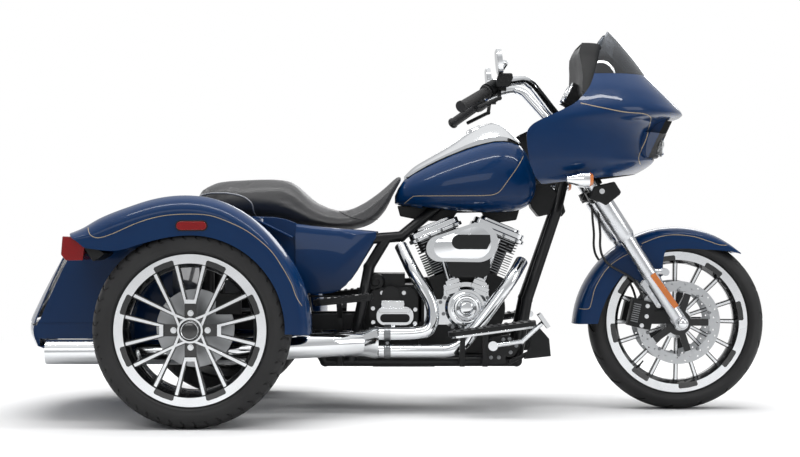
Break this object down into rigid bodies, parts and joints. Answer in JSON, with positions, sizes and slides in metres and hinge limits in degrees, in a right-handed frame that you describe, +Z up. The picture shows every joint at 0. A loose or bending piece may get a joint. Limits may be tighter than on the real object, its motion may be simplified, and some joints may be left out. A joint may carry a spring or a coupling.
{
  "type": "motorized trike",
  "caption": "Touring trike with a raked fork and a fairing ahead of an air-cooled V-twin, a two-up seat, fender-covered rear wheels and a rear trunk whose lid lifts.",
  "frame": {"origin": "on the ground below the middle of the whole object's box", "axes": "+X forward along the wheelbase, +Y to the rider's left, +Z up"},
  "size_m": [2.654, 1.4054, 1.3774],
  "materials": {
    "blue_paint": "high gloss",
    "black_frame": "satin",
    "black_engine": "satin",
    "chrome": "mirror polish",
    "silver_fork": "polished",
    "black_vinyl": "grained",
    "black_plastic": "matte",
    "grip_rubber": "matte",
    "red_lens": "gloss",
    "smoked_screen": "smoked",
    "clear_lens": "clear",
    "wheel_black": "gloss with machined faces",
    "tyre_rubber": "matte",
    "disc_steel": "ground",
    "caliper_black": "satin"
  },
  "bodies": {
    "chassis": {"frame": "black_frame", "steering_head": "black_frame", "crankcase": "black_engine", "cylinders": "black_engine", "rocker_covers": "chrome", "cam_cover": "chrome", "air_cleaner": "chrome", "gearbox": "black_engine", "primary_cover": "black_engine", "exhaust_headers": "chrome", "mufflers": "chrome", "fuel_tank": "blue_paint", "tank_console": "chrome", "seat": "black_vinyl", "rear_deck": "blue_paint", "side_covers": "blue_paint", "rear_fender_right": "blue_paint", "rear_fender_left": "blue_paint", "trunk_body": "blue_paint", "tail_lamps": "red_lens", "side_markers": "red_lens", "rear_axle": "black_frame", "swingarm": "black_frame", "rear_shocks": "black_frame", "rear_calipers": "caliper_black", "drive_belt": "grip_rubber", "rider_footboards": "black_plastic", "passenger_footboards": "black_plastic", "foot_controls": "chrome", "deflectors": "black_plastic", "fairing_shell": "blue_paint", "dash": "black_plastic", "windscreen": "smoked_screen", "headlamps": "black_plastic", "headlamp_lenses": "clear_lens", "turn_signals": "chrome"},
    "trunk_lid": {"trunk_lid": "blue_paint"},
    "steering": {"triple_clamps": "black_frame", "fork_leg_right": "silver_fork", "fork_leg_left": "silver_fork", "front_fender": "blue_paint", "front_axle": "chrome", "front_calipers": "caliper_black", "handlebar": "chrome", "grips": "grip_rubber", "hand_controls": "black_plastic", "mirrors": "chrome"},
    "front_wheel": {"front_rim": "wheel_black", "front_tyre": "tyre_rubber", "front_discs": "disc_steel"},
    "rear_wheel_right": {"rear_rim_right": "wheel_black", "rear_tyre_right": "tyre_rubber", "rear_disc_right": "disc_steel"},
    "rear_wheel_left": {"rear_rim_left": "wheel_black", "rear_tyre_left": "tyre_rubber", "rear_disc_left": "disc_steel"}
  },
  "joints": [
    {"name": "steering_turn", "type": "hinge", "parent": "chassis", "child": "steering", "pos_m": [0.66904, 0, 0.9], "axis": [-0.4384, 0, 0.8988], "range_deg": [-30, 30]},
    {"name": "front_wheel_spin", "type": "hinge", "parent": "steering", "child": "front_wheel", "pos_m": [1.008, 0, 0.319], "axis": [0, 1, 0], "continuous": true},
    {"name": "rear_wheel_right_spin", "type": "hinge", "parent": "chassis", "child": "rear_wheel_right", "pos_m": [-0.687, -0.58, 0.325], "axis": [0, 1, 0], "continuous": true},
    {"name": "rear_wheel_left_spin", "type": "hinge", "parent": "chassis", "child": "rear_wheel_left", "pos_m": [-0.687, 0.58, 0.325], "axis": [0, 1, 0], "continuous": true},
    {"name": "trunk_lid_open", "type": "hinge", "parent": "chassis", "child": "trunk_lid", "pos_m": [-0.759, 0, 0.686], "axis": [0, 1, 0], "range_deg": [0, 60]}
  ]
}
